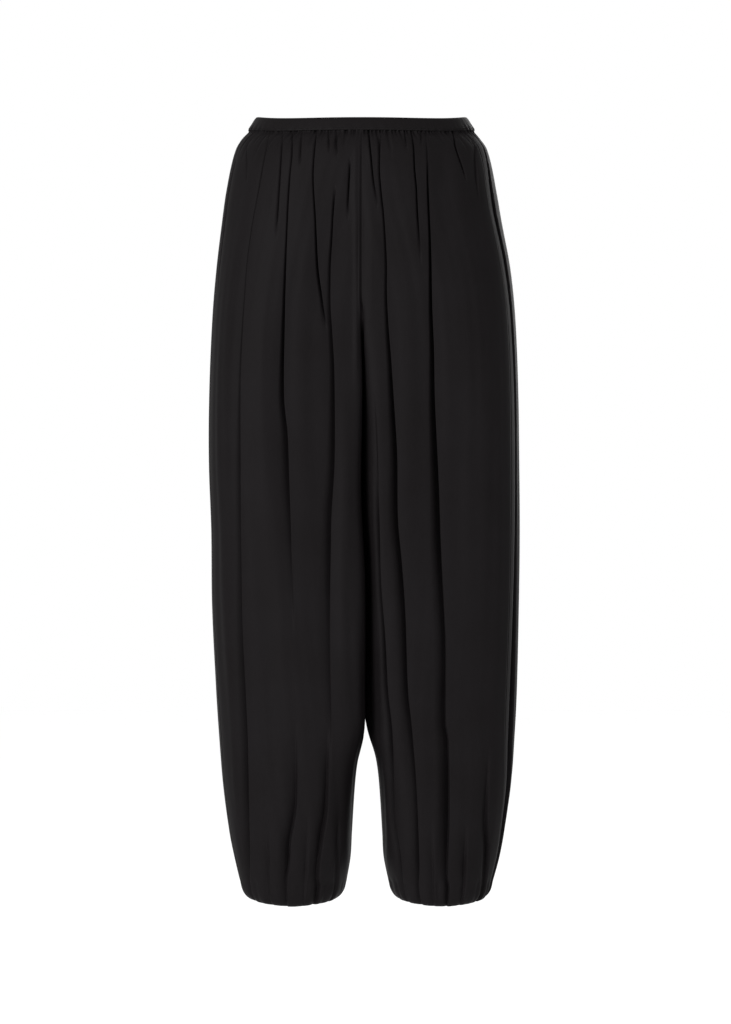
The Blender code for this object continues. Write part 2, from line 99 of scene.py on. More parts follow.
FRONT_COLUMNS = 320
BACK_COLUMNS = 260
INNER_COLUMNS = 40          # of them, on the inner wall and its corner
INNER_REACH = 13.0          # how far that corner reaches out from the wall
BODY_ROWS = 250
WAIST_FINER = (1.9, 55.0)   # how much closer the rows stand there, and over which drop
HEM_FINER = (0.6, 70.0)
HEM_ROWS_SHOWN = 34
LONG_WEIGHT = 2.6           # how much closer the columns stand at a long crease
SHORT_WEIGHT = 1.0
WALL_STEPS = 24
QUARTER_STEPS = 60
SPREAD = 4.5                # how far from a crease the columns stand closer
TANGENT_STEP = 2.5          # along a section, to either side, to find its direction
SEAM_HOLD = 4.0             # creases fade out this close to a seam
CREASE_LIMIT = 6.0          # and none comes closer to the side seam

# ---- the shape, in sections --------------------------------------------------------------
Section = namedtuple("Section", "drop left right front back")
SECTIONS = (
    Section(18, 141, 141, 98, 98),
    Section(27, 150, 149, 103, 105),
    Section(38, 157, 157, 107, 111),
    Section(60, 164, 164, 111, 119),
    Section(90, 170, 170, 114, 127),
    Section(120, 174, 175, 116, 132),
    Section(180, 181, 186, 118, 138),
    Section(240, 186, 192, 119, 139),
    Section(330, 190, 196, 117, 134),
    Section(420, 191, 198, 113, 125),
    Section(510, 188, 199, 109, 118),
    Section(600, 187, 198, 105, 111),
    Section(705, 182, 195, 98, 102),
    Section(765, 178, 192, 93, 96),
    Section(825, 173, 188, 87, 89),
    Section(885, 165, 179, 79, 80),
    Section(915, 159, 173, 74, 74),
    Section(945, 152, 165, 67, 67),
)

Gap = namedtuple("Gap", "drop centre half")
GAPS = (
    Gap(0, 0.0, LEG_GAP / 2),
    Gap(CROTCH, -1.0, LEG_GAP / 2),
    Gap(470, -2.0, LEG_GAP / 2),
    Gap(560, 2.5, LEG_GAP / 2),
    Gap(700, 4.5, LEG_GAP / 2),
    Gap(740, 6.5, 1.6),
    Gap(765, 7.0, 3.8),
    Gap(795, 7.0, 11.3),
    Gap(825, 7.0, 15.0),
    Gap(885, 7.0, 18.8),
    Gap(915, 7.0, 20.5),
    Gap(945, 7.5, 26.0),
)

# lobe: how far out each leg's deepest point lies; left, right, outer: roundness of the inner
# corner of each leg's front, and of the other corners
Form = namedtuple("Form", "drop lobe left right behind outer")
FORMS = (
    Form(18, 0.00, 3.0, 3.0, 3.0, 2.25),
    Form(120, 0.22, 3.5, 3.5, 3.5, 2.35),
    Form(240, 0.42, 4.5, 4.5, 4.5, 2.40),
    Form(360, 0.50, 11.0, 9.0, 5.0, 2.40),
    Form(560, 0.50, 11.0, 8.0, 4.2, 2.35),
    Form(740, 0.50, 5.2, 4.4, 3.0, 2.25),
    Form(945, 0.50, 2.1, 2.1, 2.1, 2.10),
)

# depth of the valley in which the centre front seam lies
Valley = namedtuple("Valley", "drop deep")
CENTRE_VALLEY = (
    Valley(18, 0.3),
    Valley(60, 1.5),
    Valley(154, 2.5),
    Valley(273, 3.5),
    Valley(345, 4.5),
    Valley(420, 3.0),
    Valley(520, 0.0),
)
VALLEY_STEEP = 1.5          # width of its left side
VALLEY_GENTLE = 13.0        # width of its right side

# the right leg's cloth beside the centre lies further back, up to this fold
Recess = namedtuple("Recess", "drop x deep")
RECESS = (
    Recess(330, 14, 0.0),
    Recess(400, 17, 2.5),
    Recess(470, 19, 4.0),
    Recess(574, 23, 4.5),
    Recess(642, 28, 5.0),
    Recess(705, 31, 4.5),
    Recess(755, 36, 2.5),
    Recess(800, 37, 0.0),
)
RECESS_STEP = 3.2           # width of the step at that fold
RECESS_START = (1.0, 4.0)   # it begins this far from the wall, over this width

HemRow = namedtuple("HemRow", "drop share lift")
HEM_ROWS = (
    HemRow(945, 1.000, 0.0),
    HemRow(958, 0.960, 0.4),
    HemRow(968, 0.890, 0.9),
    HemRow(972, 0.790, 1.0),
    HemRow(967, 0.705, 1.0),
    HemRow(955, 0.665, 0.6),
)

# the side seams lie forward of the outline by this much, measured along the cloth
SeamForward = namedtuple("SeamForward", "drop left right")
SEAM_FORWARD = (
    SeamForward(18, 30, 48),
    SeamForward(120, 38, 66),
    SeamForward(700, 38, 66),
    SeamForward(945, 20, 28),
)

# ---- creases of the front ----------------------------------------------------------------
# path: (drop, x) of the dark line; deep: (drop, slot, roll), the depth of the narrow slot and
# of the wide roll that leads down to it from the viewer's left; soft: width of that roll;
# lap: share of the depth by which the lip on the right lies over the slot
Crease = namedtuple("Crease", "path deep soft lap")
# from the outline inwards
LEFT_CREASES = (
    Crease(((36, -142), (72, -142)),
           ((30, 0, 0), (45, 3, 0), (62, 3, 0), (80, 0, 0)), 8, 0.2),
    Crease(((60, -160), (105, -166), (155, -172), (188, -176)),
           ((50, 0, 0), (75, 3, 1), (130, 2.5, 1), (190, 1, 0), (215, 0, 0)), 6, 0.1),
    Crease(((18, -113), (44, -118), (94, -126), (140, -134), (180, -139), (220, -142),
            (307, -147), (390, -148), (615, -147), (713, -143), (764, -141), (933, -139)),
           ((18, 1, 0), (45, 2, 0), (94, 3.5, 1), (180, 5, 2), (350, 5, 4), (500, 4.5, 5),
            (615, 5, 5), (740, 6.5, 5), (880, 7, 6), (945, 3, 4)), 28, 0.4),
    Crease(((24, -97), (75, -99), (108, -101), (142, -104)),
           ((18, 2, 0), (50, 4, 0), (100, 5, 0.5), (130, 3, 0), (152, 0, 0)), 10, 0.35),
    Crease(((18, -85), (48, -84), (76, -86), (129, -89), (175, -91), (254, -93),
            (347, -94), (390, -90), (454, -88), (519, -86), (640, -84)),
           ((18, 3, 0), (48, 4.5, 0), (90, 6, 1), (129, 6.5, 1.5), (200, 6.5, 3), (287, 5.5, 4.5),
            (347, 4, 5), (454, 2, 4.5), (530, 0, 3.5), (640, 0, 0)), 42, 0.42),
    Crease(((20, -73), (56, -74)), ((18, 2.5, 0), (45, 3, 0), (64, 0, 0)), 8, 0.3),
    Crease(((18, -55), (49, -57), (76, -58), (129, -55), (189, -52), (227, -47), (262, -43)),
           ((18, 2.5, 0), (49, 3.5, 0.5), (100, 5, 1), (150, 6, 1.5), (189, 6, 2), (235, 4, 1.5),
            (262, 0, 0)), 22, 0.4),
    Crease(((21, -40), (42, -39)), ((18, 2.5, 0), (34, 2.5, 0), (46, 0, 0)), 7, 0.3),
    Crease(((26, -30), (48, -30)), ((22, 1, 0), (36, 2.5, 0), (52, 0, 0)), 7, 0.3),
    Crease(((90, -32), (154, -35), (189, -37), (254, -36), (313, -33), (424, -33),
            (489, -37), (536, -38), (589, -39), (690, -39), (820, -38)),
           ((88, 0, 0), (115, 4, 0.5), (154, 4, 1), (189, 3, 1.5), (254, 2.5, 3), (313, 3, 4),
            (424, 3, 5), (536, 2.5, 5), (600, 1.5, 4.5), (690, 0, 3.5), (820, 0, 0)), 40, 0.4),
    Crease(((60, -14), (71, -14), (119, -16), (135, -16)),
           ((52, 0, 0), (76, 4.5, 0.5), (104, 4, 0.5), (130, 0, 0)), 9, 0.3),
    Crease(((763, -42), (849, -43), (891, -49), (935, -53), (960, -46)),
           ((745, 0, 0), (800, 1, 3), (880, 2, 4), (945, 1.5, 3)), 20, 0.2),
    Crease(((799, -81), (848, -82), (890, -89), (911, -90), (938, -94)),
           ((740, 0, 0), (830, 1.5, 3), (900, 3, 4), (945, 1.5, 3)), 24, 0.2),
    Crease(((915, -27), (952, -31)), ((860, 0, 0), (920, 1.5, 2), (945, 1.2, 1)), 12, 0.2),
    Crease(((875, -66), (945, -70)), ((850, 0, 0), (920, 1, 1.5), (945, 1, 1)), 14, 0.2),
    Crease(((905, -116), (945, -116)), ((860, 0, 0), (925, 1.5, 1), (945, 1.2, 1)), 12, 0.2),
)
# from the centre outwards
RIGHT_CREASES = (
    Crease(((20, 9), (49, 12), (82, 15), (109, 19)),
           ((18, 3, 0), (49, 4.5, 0), (82, 3, 1), (118, 0, 0)), 8, 0.35),
    Crease(((20, 23), (69, 23), (96, 25), (129, 28), (181, 31), (221, 31), (261, 33),
            (300, 36), (347, 39), (414, 43), (494, 44), (551, 49), (611, 53),
            (704, 56), (754, 61), (830, 66), (920, 69)),
           ((18, 1.5, 0), (49, 3, 0), (96, 3.5, 1), (181, 3, 2), (221, 3.5, 2), (300, 5, 3),
            (414, 4.5, 5), (551, 3.5, 5), (704, 2.5, 4.5), (830, 1, 4), (920, 2, 4),
            (945, 2, 3)), 20, 0.42),
    Crease(((440, 18), (508, 21), (574, 23), (642, 28), (705, 31), (755, 36), (835, 38),
            (864, 39), (907, 46), (948, 51)),
           ((430, 0, 0), (508, 1.5, 2), (642, 2.5, 4), (755, 3, 5), (864, 3, 5),
            (945, 2, 3)), 14, 0.4),
    Crease(((17, 53), (35, 55)), ((18, 2.5, 0), (28, 3, 0), (42, 0, 0)), 8, 0.3),
    Crease(((20, 62), (32, 64), (69, 66), (90, 68), (115, 69), (184, 72)),
           ((18, 2.5, 0), (50, 4.5, 0.5), (90, 4.5, 1), (130, 3, 1.5), (184, 0, 0)), 16, 0.4),
    Crease(((20, 74), (31, 74)), ((18, 2, 0), (26, 2.5, 0), (38, 0, 0)), 7, 0.3),
    Crease(((20, 80), (73, 82), (95, 83), (154, 85), (235, 86), (287, 88), (347, 89),
            (392, 91), (457, 94), (519, 96), (583, 99), (648, 102), (744, 102),
            (763, 105), (862, 106), (934, 105), (955, 110)),
           ((18, 1, 0), (60, 2.5, 0), (95, 5.5, 1), (154, 6, 2), (235, 6.5, 4), (392, 6.5, 6),
            (519, 5.5, 6.5), (583, 4, 6), (648, 3, 6), (763, 3, 6), (862, 3, 6.5),
            (945, 2, 4)), 44, 0.42),
    Crease(((21, 114), (40, 118), (66, 126), (82, 130)),
           ((18, 3, 0), (40, 4.5, 1), (66, 2, 1), (84, 0, 0)), 14, 0.4),
    Crease(((41, 141), (92, 144)), ((25, 0, 0), (60, 1, 2), (105, 0, 0)), 12, 0.2),
    Crease(((792, 156), (863, 155), (900, 157), (944, 154)),
           ((770, 0, 0), (850, 1, 2.5), (900, 2, 3), (945, 2, 2)), 20, 0.3),
    Crease(((905, 86), (947, 87)), ((860, 0, 0), (925, 1.5, 1), (945, 1.2, 1)), 12, 0.2),
    Crease(((880, 128), (945, 127)), ((865, 0, 0), (920, 1.5, 2), (945, 2, 1)), 14, 0.3),
)
CREASES = {"left": LEFT_CREASES, "right": RIGHT_CREASES}

# broad soft troughs, or ridges where the depth is negative: path, (drop, depth), half width
Trough = namedtuple("Trough", "path deep width")
TROUGHS = {
    "left": (
        Trough(((400, -62), (640, -60)), ((330, 0), (430, 2), (560, 1.5), (680, 0)), 16),
        Trough(((500, -112), (860, -108)), ((430, 0), (600, 1.5), (800, 2), (900, 0)), 14),
        Trough(((330, -19), (420, -19), (560, -22), (700, -22)),
               ((320, 0), (400, -2.2), (590, -3.2), (680, -1.5), (750, 0)), 8),
        Trough(((60, -7), (330, -6)), ((30, 0), (60, -1.2), (280, -1.5), (350, 0)), 3),
    ),
    "right": (
        Trough(((36, 102), (154, 102)), ((22, 0), (60, 2.5), (120, 2), (180, 0)), 14),
        Trough(((300, 128), (600, 132), (850, 130)),
               ((260, 0), (400, 1.5), (700, 2), (880, 0)), 18),
    ),
}

# ---- short gathers ------------------------------------------------------------------------
FRONT_GATHERS = 25          # in one front panel, under the waistband
BACK_GATHERS = 28
GATHER_DEPTH = (1.0, 2.8)
GATHER_REACH = (9.0, 46.0)
GATHER_WIDTH = 1.9
# a crease is a narrow slot at the waist and a wide soft trough further down
Crossing = namedtuple("Crossing", "drop flank sharp gain")   # widths of its two sides; depth gain
CROSSINGS = (
    Crossing(15, 2.6, 2.2, 1.0),
    Crossing(180, 3.6, 2.5, 1.0),
    Crossing(330, 7.0, 2.8, 1.1),
    Crossing(500, 12.0, 3.4, 1.25),
    Crossing(760, 14.0, 4.4, 1.35),
    Crossing(900, 13.0, 5.0, 1.35),
    Crossing(945, 10.0, 4.5, 1.0),
)
LAP_MOST = 2.4              # most that a lip is shifted
LAP_REACH = 9.0             # how far from the crease the lip's shift fades out
TUCKED = (0.25, 1.6)        # the slot's floor is shifted the other way: share and width
FLANK_LIMIT = 0.6           # a slot's side is at most this share of the roll's width
RIPPLES = ((41.0, 0.70, 0.9), (24.0, 0.32, 2.3), (14.5, 0.12, 4.1))   # width, depth, phase
RIPPLE_SPREAD = 2.3         # their width varies over this many widths
RIPPLE_SWAY = (0.8, 190.0)  # how much they sway, and over which drop
RIPPLE_UNEVEN = (0.9, 260.0)
RIPPLE_SWELL = (95.0, 57.0) # drop and width over which they swell
ROLL_GAIN = 1.5             # on the depths of the rolls in the table
TUCKS = 36                  # smallest pleats of a panel, right at the band's foot
TUCK_DEPTH = (0.8, 2.6)
TUCK_REACH = (5.0, 15.0)
TUCK_WIDTH = 1.25
HEM_GATHERS = 17            # in one panel, into the cuff
HEM_GATHER_DEPTH = 2.4
HEM_GATHER_REACH = 24.0
HEM_GATHER_WIDTH = 3.2
HEM_GATHER_FOOT = 10.0      # they are deepest this far below the last drop
BACK_FOLDS = 8              # long folds of one back panel
BACK_FOLD_PLACE = 0.22      # how far they lie from even places
BACK_FOLD_DEPTH = (2.5, 7.5)
BACK_FOLD_SWAY = (0.006, 0.018)
BACK_FOLD_WAVE = (150, 300)     # drop over which they sway
BACK_SWELL_WAVE = (110, 240)    # and over which they swell
BACK_FOLD_SOFT = (24, 44)
BACK_FOLD_SLOT = (0.25, 0.6)
BACK_FOLD_LAP = (0.3, 0.45)
SEAM_GROOVE = 0.35
SEAM_GROOVE_WIDTH = 1.1

PHASES = (0, 6.3)           # of the waves drawn at random
FOLD_SEEDS = {"left": 31, "right": 47}
PANEL_SEEDS = {"leftfront": 3, "rightfront": 5, "leftback": 8, "rightback": 13}
TUCK_SEED = 50              # added to the panel's own
HEM_SEED = 100
BAND_SEED = 21

# ---- colours, linear ---------------------------------------------------------------------
CLOTH_DARK = (0.0032, 0.0027, 0.0029)
CLOTH_LIGHT = (0.0039, 0.0034, 0.0037)
BAND_COLOUR = (0.0034, 0.0029, 0.0031)
THREAD_DARK = (0.0026, 0.0026, 0.0026)
THREAD_LIGHT = (0.0042, 0.0038, 0.004)
PAPER_DARK = (0.985, 0.985, 0.985)
PAPER_LIGHT = (0.995, 0.995, 0.995)

# ---- view --------------------------------------------------------------------------------
# lights: name, place, power
LIGHTS = (
    ("key", (-2.3, -3.4, 0.7), 305.0),
    ("fill", (2.4, -3.4, 0.2), 70.0),
    ("behind", (1.6, 3.8, 0.7), 70.0),
)
LIGHT_SIZE = (2.4, 2.8)
LIT_POINT = (0.0, 0.0, -0.45)
FLOOR_HALF = 14.0
FLOOR_LEVEL = -1.6
CAMERA_AT = (0.005, -4.0, -0.485)
LENS = 112.5
SENSOR = 36.0


def curve(knots, values, at):
    """Smooth values through knots, for an array of drops."""
    knots = np.asarray(knots, float)
    values = np.asarray(values, float)
    at = np.clip(np.asarray(at, float), knots[0], knots[-1])
    slopes = np.empty_like(values)
    last = len(knots) - 1
    for i in range(len(knots)):
        before = max(i - 1, 0)
        after = min(i + 1, last)
        slopes[i] = (values[after] - values[before]) / (knots[after] - knots[before])
    k = np.clip(np.searchsorted(knots, at, side="right") - 1, 0, last - 1)
    span = knots[k + 1] - knots[k]
    t = (at - knots[k]) / span
    return ((2 * t ** 3 - 3 * t ** 2 + 1) * values[k]
            + (t ** 3 - 2 * t ** 2 + t) * span * slopes[k]
            + (3 * t ** 2 - 2 * t ** 3) * values[k + 1]
            + (t ** 3 - t ** 2) * span * slopes[k + 1])


def read(table, name, drop):
    return float(curve([row.drop for row in table], [getattr(row, name) for row in table], drop))


def fade(x):
    """Smooth step from 0 to 1."""
    x = np.clip(x, 0.0, 1.0)
    return x * x * (3 - 2 * x)


def valley_share(drop):
    return 1 - fade((drop - VALLEY_TOP) / (VALLEY_FOOT - VALLEY_TOP))


def rise_share(drop):
    q = min(max((drop - VALLEY_TOP) / (CROTCH - VALLEY_TOP), 0.0), 1.0)
    return valley_share(drop) * math.sqrt(1 - q ** RISE_SQUARE)


def quarter(start, end, roundness, upright_first):
    """Superellipse quarter between two points of a section."""
    angle = np.linspace(0.0, math.pi / 2, QUARTER_STEPS + 1)
    along = np.sin(angle) ** (2 / roundness)
    across = np.clip(np.cos(angle), 0.0, 1.0) ** (2 / roundness)
    if upright_first:
        x = end[0] + (start[0] - end[0]) * across
        y = start[1] + (end[1] - start[1]) * along
    else:
        x = start[0] + (end[0] - start[0]) * along
        y = end[1] + (start[1] - end[1]) * across
    return np.stack([x, y], axis=1)


def half_section(side, drop):
    """One leg's section from its centre front round to its centre back, and its crown."""
    sign = -1 if side == "left" else 1
    wall = read(GAPS, "centre", drop) + sign * read(GAPS, "half", drop)
    edge = sign * read(SECTIONS, side, drop)
    front = read(SECTIONS, "front", drop)
    back = read(SECTIONS, "back", drop)
    crown = wall + (edge - wall) * read(FORMS, "lobe", drop)
    inner = read(FORMS, side, drop)
    behind = read(FORMS, "behind", drop)
    outer = read(FORMS, "outer", drop)
    rise = rise_share(drop)
    valley = valley_share(drop)
    steps = np.linspace(0.0, 1.0, WALL_STEPS + 1)
    fore = np.stack([np.full(WALL_STEPS + 1, wall), -front * (rise + (valley - rise) * steps)], 1)
    aft = np.stack([np.full(WALL_STEPS + 1, wall), back * (valley + (rise - valley) * steps)], 1)
    points = np.concatenate([
        fore,
        quarter((wall, -front * valley), (crown, -front), inner, True)[1:],
        quarter((crown, -front), (edge, 0.0), outer, False)[1:],
        quarter((edge, 0.0), (crown, back), outer, True)[1:],
        quarter((crown, back), (wall, back * valley), behind, False)[1:],
        aft[1:],
    ])
    near = np.clip(1 - np.abs(points[:, 0] - wall) / max(abs(crown - wall), 1.0), 0, 1) ** 2
    points[:, 0] += near * bow_at(drop, points[:, 1])
    return points, crown, wall


def bow_at(drop, y):
    """Sideways bow of the inner walls, alike on both legs, so that they nest."""
    power = GAP_BOW * fade((drop - BOW_TOP) / (BOW_FULL - BOW_TOP))
    power *= 1 - fade((drop - BOW_FOOT[0]) / (BOW_FOOT[1] - BOW_FOOT[0]))
    depth = np.where(y < 0, read(SECTIONS, "front", drop), read(SECTIONS, "back", drop))
    return -power * np.cos(math.pi * y / depth)


class Measured:
    """A section with its length measured along it."""

    def __init__(self, points):
        self.points = points
        steps = np.hypot(*np.diff(points, axis=0).T)
        self.marks = np.concatenate([[0.0], np.cumsum(steps)])
        self.length = self.marks[-1]

    def at(self, marks):
        marks = np.clip(marks, 0.0, self.length)
        return (np.interp(marks, self.marks, self.points[:, 0]),
                np.interp(marks, self.marks, self.points[:, 1]))

    def widest(self, sign):
        return self.marks[int(np.argmax(sign * self.points[:, 0]))]

    def mark_of_x(self, x, sign, limit):
        """Where the front of the section first lies as far out as x."""
        out = sign * self.points[:, 0]
        beyond = np.nonzero(out >= sign * x)[0]
        if len(beyond) == 0:
            return limit
        k = beyond[0]
        if k == 0:
            return 0.0
        share = (sign * x - out[k - 1]) / max(out[k] - out[k - 1], 1e-6)
        return min(self.marks[k - 1] + share * (self.marks[k] - self.marks[k - 1]), limit)

    def mark_behind(self, x, sign):
        """The same on the back: the last place that lies as far out as x."""
        out = sign * self.points[:, 0]
        k = np.nonzero(out >= sign * x)[0][-1]
        if k == len(out) - 1:
            return self.length
        share = (out[k] - sign * x) / max(out[k] - out[k + 1], 1e-6)
        return self.marks[k] + share * (self.marks[k + 1] - self.marks[k])


def crease_profile(e, slot, roll, soft, flank, sharp):
    """Depth across a crease: a roll and a slot on the viewer's left, a steep rise on the right."""
    gentle = roll * np.clip(1 + e / soft, 0, 1) ** 2 + slot * np.clip(1 + e / flank, 0, 1) ** 1.6
    steep = (slot + roll) * (1 - fade(e / sharp))
    return np.where(e < 0, gentle, steep)


def lap_profile(e, sharp):
    """Sideways shift that lays the lip on the right a little over the slot."""
    lip = fade(e / sharp) * np.exp(-np.clip(e - sharp, 0, None) / LAP_REACH)
    return TUCKED[0] * np.exp(-(e / TUCKED[1]) ** 2) - lip


def row_drops():
    """Drops of the rows: closer together near the waist and near the hem."""
    fine = np.linspace(TOP_DROP, LAST_DROP, 2000)
    density = (1 + WAIST_FINER[0] * np.exp(-(fine - TOP_DROP) / WAIST_FINER[1])
               + HEM_FINER[0] * np.exp(-(LAST_DROP - fine) / HEM_FINER[1]))
    share = np.concatenate([[0], np.cumsum(0.5 * (density[1:] + density[:-1]))])
    return np.interp(np.linspace(0, share[-1], BODY_ROWS), share, fine)


def hem_rows():
    """The rows that round under at the hem, from a few given ones."""
    knots = np.arange(len(HEM_ROWS), dtype=float)
    at = np.linspace(0, knots[-1], HEM_ROWS_SHOWN + 1)[1:]
    drops = curve(knots, [row.drop for row in HEM_ROWS], at)
    shares = curve(knots, [row.share for row in HEM_ROWS], at)
    lifts = curve(knots, [row.lift for row in HEM_ROWS], at)
    return list(zip(drops, shares, lifts, at / knots[-1]))


def at_drop(points, column, drop):
    """A value of a short list of (drop, value, ...) at a drop, held beyond its ends."""
    return float(curve([p[0] for p in points], [p[column] for p in points], drop))


def gathers(count, seed, depth, reach):
    """Places (share of the panel's width), depths and reaches of the short gathers."""
    rng = np.random.default_rng(seed)
    places = (np.arange(count) + 0.5 + rng.uniform(-0.34, 0.34, count)) / count
    depths = rng.uniform(*depth, count)
    reaches = reach[0] + (reach[1] - reach[0]) * rng.uniform(0, 1, count) ** 2
    return places, depths, reaches


Fold = namedtuple("Fold", "share sway phase wave deep swell_phase swell_wave soft slot lap")


def back_folds(side):
    """Long folds of a back panel: like the front's, placed by a seeded draw."""
    rng = np.random.default_rng(FOLD_SEEDS[side])
    folds = []
    for k in range(BACK_FOLDS):
        place = k + 0.5 + rng.uniform(-BACK_FOLD_PLACE, BACK_FOLD_PLACE)
        folds.append(Fold(
            share=place / BACK_FOLDS,
            sway=rng.uniform(*BACK_FOLD_SWAY),
            phase=rng.uniform(*PHASES),
            wave=rng.uniform(*BACK_FOLD_WAVE),
            deep=rng.uniform(*BACK_FOLD_DEPTH),
            swell_phase=rng.uniform(*PHASES),
            swell_wave=rng.uniform(*BACK_SWELL_WAVE),
            soft=rng.uniform(*BACK_FOLD_SOFT),
            slot=rng.uniform(*BACK_FOLD_SLOT),
            lap=rng.uniform(*BACK_FOLD_LAP)))
    return folds


def columns_of(marks, weights, inner, length, count, part):
    """Column places across a panel, closer together at the creases.

    The inner wall has its own columns, so that those of the face keep to its creases.
    """
    face = length - inner
    fine = np.linspace(0.0, face, 900)
    density = np.ones_like(fine)
    for mark, weight in zip(marks, weights):
        at = mark - inner if part == "front" else mark
        density += weight * np.exp(-((fine - at) / SPREAD) ** 2)
    share = np.concatenate([[0], np.cumsum(0.5 * (density[1:] + density[:-1]))])
    outside = np.interp(np.linspace(0, share[-1], count - INNER_COLUMNS + 1), share, fine)
    within = np.linspace(0.0, inner, INNER_COLUMNS + 1)
    if part == "front":
        return np.concatenate([within[:-1], inner + outside])
    return np.concatenate([outside[:-1], face + within])


def panel_row(side, part, drop, state):
    """Columns of one row of a panel: their places, inward depth and sideways shift."""
    sign = -1 if side == "left" else 1
    points, crown, wall = half_section(side, drop)
    section = Measured(points)
    forward = read(SEAM_FORWARD, side, drop)
    seam = section.widest(sign) - forward
    length = seam if part == "front" else section.length - seam
    start = 0.0 if part == "front" else seam
    marks = []
    weights = []
    shapes = []
    if part == "front":
        for crease in state["creases"]:
            slot = max(at_drop(crease.deep, 1, drop), 0.0)
            roll = ROLL_GAIN * max(at_drop(crease.deep, 2, drop), 0.0)
            x = at_drop(crease.path, 1, drop)
            mark = section.mark_of_x(x, sign, length - CREASE_LIMIT)
            marks.append(mark)
            weights.append(LONG_WEIGHT if len(crease.path) > 6 else SHORT_WEIGHT)
            shapes.append((mark, slot, roll, crease.soft, crease.lap))
    else:
        corner = section.mark_behind(wall + sign * INNER_REACH, sign) - seam
        for fold in state["folds"]:
            mark = corner * (fold.share + fold.sway * math.sin(drop / fold.wave + fold.phase))
            swell = 0.5 + 0.5 * math.sin(drop / fold.swell_wave + fold.swell_phase)
            deep = fold.deep * (0.25 + 0.75 * swell) * float(fade((drop - 10) / 110))
            deep *= 1 - 0.35 * float(fade((drop - 850) / 95))
            marks.append(mark)
            weights.append(LONG_WEIGHT)
            upper = 1 - 0.55 * float(fade((drop - 200) / 350))
            shapes.append((mark, deep * fold.slot * (0.5 + upper), deep * (1.2 - fold.slot),
                           fold.soft, fold.lap))
    count = FRONT_COLUMNS if part == "front" else BACK_COLUMNS
    inner_x = wall + sign * INNER_REACH
    if part == "front":
        inner = section.mark_of_x(inner_x, sign, length / 2)
    else:
        inner = section.length - section.mark_behind(inner_x, sign)
    columns = columns_of(marks, weights, inner, length, count, part)
    inward = np.zeros_like(columns)
    shift = np.zeros_like(columns)
    flank, sharp, gain = (read(CROSSINGS, name, drop) for name in ("flank", "sharp", "gain"))
    for mark, slot, roll, soft, lap in shapes:
        if slot + roll <= 0.01:
            continue
        e = sign * (columns - mark)
        inward += crease_profile(e, slot * gain, roll, soft, min(flank, soft * FLANK_LIMIT), sharp)
        shift += sign * min(lap * (slot + roll), LAP_MOST) * lap_profile(e, sharp)
    inward += soft_forms(side, part, drop, section, sign, columns, length)
    inward = add_gathers(inward, drop, columns / length, length, state)
    edge = np.minimum(columns, length - columns)
    hold = fade(edge / SEAM_HOLD)
    inward *= hold
    shift *= hold
    from_side = length - columns if part == "front" else columns
    inward += SEAM_GROOVE * np.exp(-(from_side / SEAM_GROOVE_WIDTH) ** 2)
    if part == "front":
        inward += centre_valley(side, drop, columns)
    return section, crown, start, columns, inward, shift


def soft_forms(side, part, drop, section, sign, columns, length):
    """Broad troughs and faint upright ripples."""
    depth = np.zeros_like(columns)
    limit = length - CREASE_LIMIT
    if part == "front":
        for trough in TROUGHS[side]:
            deep = at_drop(trough.deep, 1, drop)
            mark = section.mark_of_x(at_drop(trough.path, 1, drop), sign, limit)
            depth += deep * np.exp(-((columns - mark) / trough.width) ** 2)
        if side == "right":
            deep = max(read(RECESS, "deep", drop), 0.0)
            mark = section.mark_of_x(read(RECESS, "x", drop), sign, limit)
            out = section.at(columns)[0] - section.points[0, 0]
            begun = fade((out - RECESS_START[0]) / RECESS_START[1])
            depth += deep * (1 - fade((columns - mark) / RECESS_STEP)) * begun
    offset = {"left": 0.0, "right": 2.0}[side] + {"front": 0.0, "back": 1.0}[part]
    across = length - columns if part == "front" else columns
    power = fade((drop - 20) / 60) * (1 - 0.5 * fade((drop - 880) / 60)) * fade(across / 30)
    for width, deep, phase in RIPPLES:
        sway = RIPPLE_SWAY[0] * math.sin(drop / RIPPLE_SWAY[1] + phase + offset)
        spread = across / (RIPPLE_SPREAD * width)
        uneven = RIPPLE_UNEVEN[0] * np.sin(spread + phase * 2 + drop / RIPPLE_UNEVEN[1])
        swell = 0.5 + 0.5 * np.sin(drop / RIPPLE_SWELL[0] + across / RIPPLE_SWELL[1] + phase)
        turn = 2 * math.pi * across / width + phase + offset + sway + uneven
        depth += power * deep * swell * (1 + np.sin(turn))
    return depth


def centre_valley(side, drop, columns):
    """The seam lies in a valley: steep on the viewer's left, gentle on the right."""
    deep = max(read(CENTRE_VALLEY, "deep", drop), 0.0)
    if side == "left":
        return deep * (1 - fade(columns / VALLEY_STEEP))
    return deep * np.clip(1 - columns / VALLEY_GENTLE, 0, 1) ** 1.5


def add_gathers(inward, drop, share, length, state):
    """Short gathers below the waistband and above the cuff."""
    for name, width in (("gathers", GATHER_WIDTH), ("tucks", TUCK_WIDTH)):
        for place, depth, reach in zip(*state[name]):
            power = depth * (1 - float(fade((drop - BAND_SHOWN - 1) / reach)))
            if power > 0.01:
                inward = inward + power * np.exp(-((share - place) * length / width) ** 2)
    foot = LAST_DROP + HEM_GATHER_FOOT
    for place, depth, reach in zip(*state["hem_gathers"]):
        power = HEM_GATHER_DEPTH * depth * float(fade((drop - (foot - reach)) / reach))
        if power > 0.01:
            e = (share - place) * length
            inward = inward + power * np.exp(-(e / HEM_GATHER_WIDTH) ** 2)
    return inward


def waist_lift(y, front, drop):
    """The waist is higher at its sides and back than in front."""
    forward = fade(-y / front)
    lift = WAIST_RISE * (1 - forward) - WAIST_DIP * forward
    return lift * (1 - fade((drop - BAND_HEIGHT) / WAIST_REACH))


